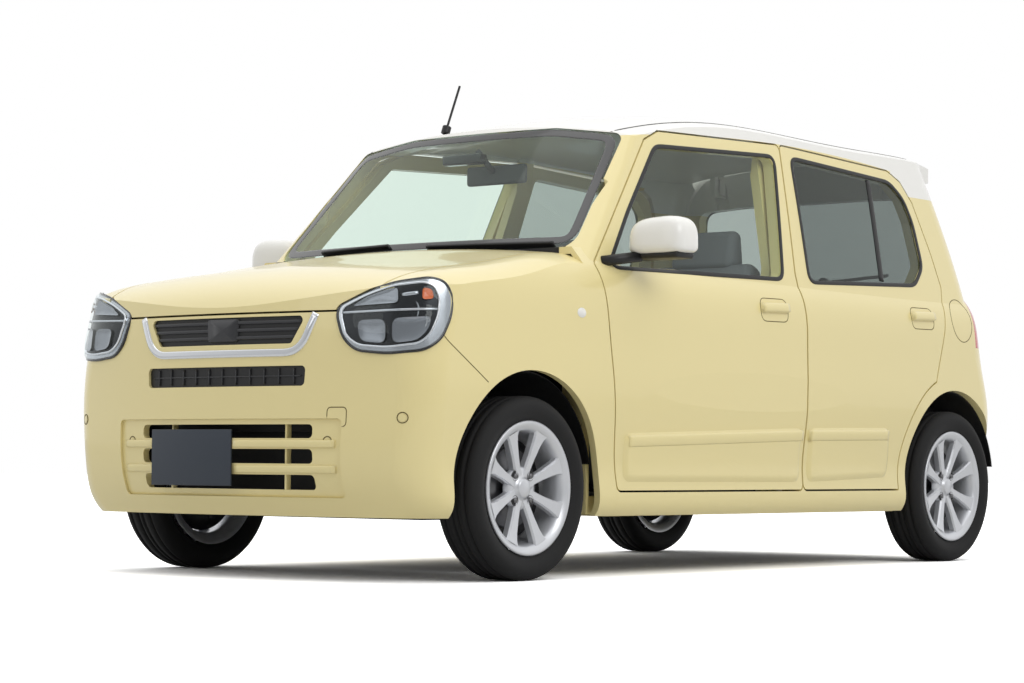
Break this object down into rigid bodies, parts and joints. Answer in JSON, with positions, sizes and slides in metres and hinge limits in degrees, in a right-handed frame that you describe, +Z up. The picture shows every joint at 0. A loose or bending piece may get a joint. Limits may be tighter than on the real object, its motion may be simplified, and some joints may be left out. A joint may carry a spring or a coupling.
{
  "type": "kei car",
  "caption": "Small two-box five-door kei car with a tall cabin, opening doors, bonnet and tailgate, steered front wheels and rolling alloy wheels.",
  "frame": {"origin": "on the ground under the middle of the car's bounding box", "axes": "+X forward, +Y to the car's left, +Z up"},
  "size_m": [3.3957, 1.8266, 1.6076],
  "materials": {
    "body_paint": "gloss",
    "roof_paint": "gloss",
    "underbody": "satin",
    "black_plastic": "matte",
    "glass": "gloss",
    "privacy_glass": "gloss",
    "lamp_clear": "gloss",
    "lamp_red": "gloss",
    "interior_plastic": "matte",
    "seat_fabric": "woven",
    "cast_metal": "rough",
    "exhaust_steel": "satin",
    "alloy": "satin",
    "tyre_rubber": "matte"
  },
  "bodies": {
    "body": {"floor_pan": "underbody", "body_side_left": "body_paint", "body_side_right": "body_paint", "roof_panel": "roof_paint", "scuttle": "black_plastic", "front_fenders": "body_paint", "front_bumper": "body_paint", "rear_bumper": "body_paint", "windscreen": "glass", "headlamps": "lamp_clear", "tail_lamps": "lamp_red", "grilles": "black_plastic", "intake_panel": "body_paint", "dashboard": "interior_plastic", "front_seats": "seat_fabric", "rear_seat": "seat_fabric", "engine_block": "cast_metal", "front_frame": "underbody", "rear_axle": "underbody", "exhaust": "exhaust_steel", "fuel_tank": "black_plastic", "wheel_arch_liners": "black_plastic", "antenna": "black_plastic"},
    "front_door_left": {"front_door_left": "body_paint", "front_window_left": "glass", "mirror_left": "roof_paint"},
    "front_door_right": {"front_door_right": "body_paint", "front_window_right": "glass", "mirror_right": "roof_paint"},
    "rear_door_left": {"rear_door_left": "body_paint", "rear_window_left": "privacy_glass"},
    "rear_door_right": {"rear_door_right": "body_paint", "rear_window_right": "privacy_glass"},
    "bonnet": {"bonnet": "body_paint"},
    "tailgate": {"tailgate": "body_paint", "tailgate_window": "privacy_glass"},
    "knuckle_left": {"knuckle_left": "cast_metal"},
    "knuckle_right": {"knuckle_right": "cast_metal"},
    "steering_wheel": {"steering_wheel": "interior_plastic"},
    "wheel_front_left": {"rim_front_left": "alloy", "tyre_front_left": "tyre_rubber"},
    "wheel_front_right": {"rim_front_right": "alloy", "tyre_front_right": "tyre_rubber"},
    "wheel_rear_left": {"rim_rear_left": "alloy", "tyre_rear_left": "tyre_rubber"},
    "wheel_rear_right": {"rim_rear_right": "alloy", "tyre_rear_right": "tyre_rubber"}
  },
  "joints": [
    {"name": "front_door_left_hinge", "type": "hinge", "parent": "body", "child": "front_door_left", "pos_m": [0.696, 0.719, 0.615], "axis": [0, 0, -1], "range_deg": [0, 65]},
    {"name": "front_door_right_hinge", "type": "hinge", "parent": "body", "child": "front_door_right", "pos_m": [0.696, -0.719, 0.615], "axis": [0, 0, 1], "range_deg": [0, 65]},
    {"name": "rear_door_left_hinge", "type": "hinge", "parent": "body", "child": "rear_door_left", "pos_m": [-0.392, 0.719, 0.615], "axis": [0, 0, -1], "range_deg": [0, 65]},
    {"name": "rear_door_right_hinge", "type": "hinge", "parent": "body", "child": "rear_door_right", "pos_m": [-0.392, -0.719, 0.615], "axis": [0, 0, 1], "range_deg": [0, 65]},
    {"name": "bonnet_hinge", "type": "hinge", "parent": "body", "child": "bonnet", "pos_m": [0.914, 0, 0.972], "axis": [0, -1, 0], "range_deg": [0, 55]},
    {"name": "tailgate_hinge", "type": "hinge", "parent": "body", "child": "tailgate", "pos_m": [-1.44, 0, 1.462], "axis": [0, 1, 0], "range_deg": [0, 75]},
    {"name": "steer_left", "type": "hinge", "parent": "body", "child": "knuckle_left", "pos_m": [1.14, 0.585, 0.184], "axis": [0, -0.1515, 0.9885], "range_deg": [-34, 34]},
    {"name": "steer_right", "type": "hinge", "parent": "body", "child": "knuckle_right", "pos_m": [1.14, -0.585, 0.184], "axis": [0, 0.1515, 0.9885], "range_deg": [-34, 34]},
    {"name": "steering_wheel_turn", "type": "hinge", "parent": "body", "child": "steering_wheel", "pos_m": [0.432, -0.335, 0.872], "axis": [-0.8988, 0, 0.4384], "range_deg": [-540, 540]},
    {"name": "wheel_front_left_spin", "type": "hinge", "parent": "knuckle_left", "child": "wheel_front_left", "pos_m": [1.14, 0.65, 0.27], "axis": [0, 1, 0], "continuous": true},
    {"name": "wheel_front_right_spin", "type": "hinge", "parent": "knuckle_right", "child": "wheel_front_right", "pos_m": [1.14, -0.65, 0.27], "axis": [0, 1, 0], "continuous": true},
    {"name": "wheel_rear_left_spin", "type": "hinge", "parent": "body", "child": "wheel_rear_left", "pos_m": [-1.32, 0.65, 0.27], "axis": [0, 1, 0], "continuous": true},
    {"name": "wheel_rear_right_spin", "type": "hinge", "parent": "body", "child": "wheel_rear_right", "pos_m": [-1.32, -0.65, 0.27], "axis": [0, 1, 0], "continuous": true}
  ],
  "couplings": [
    {"joint": "steer_right", "follows": "steer_left", "ratio": 1},
    {"joint": "steering_wheel_turn", "follows": "steer_left", "ratio": 15}
  ]
}
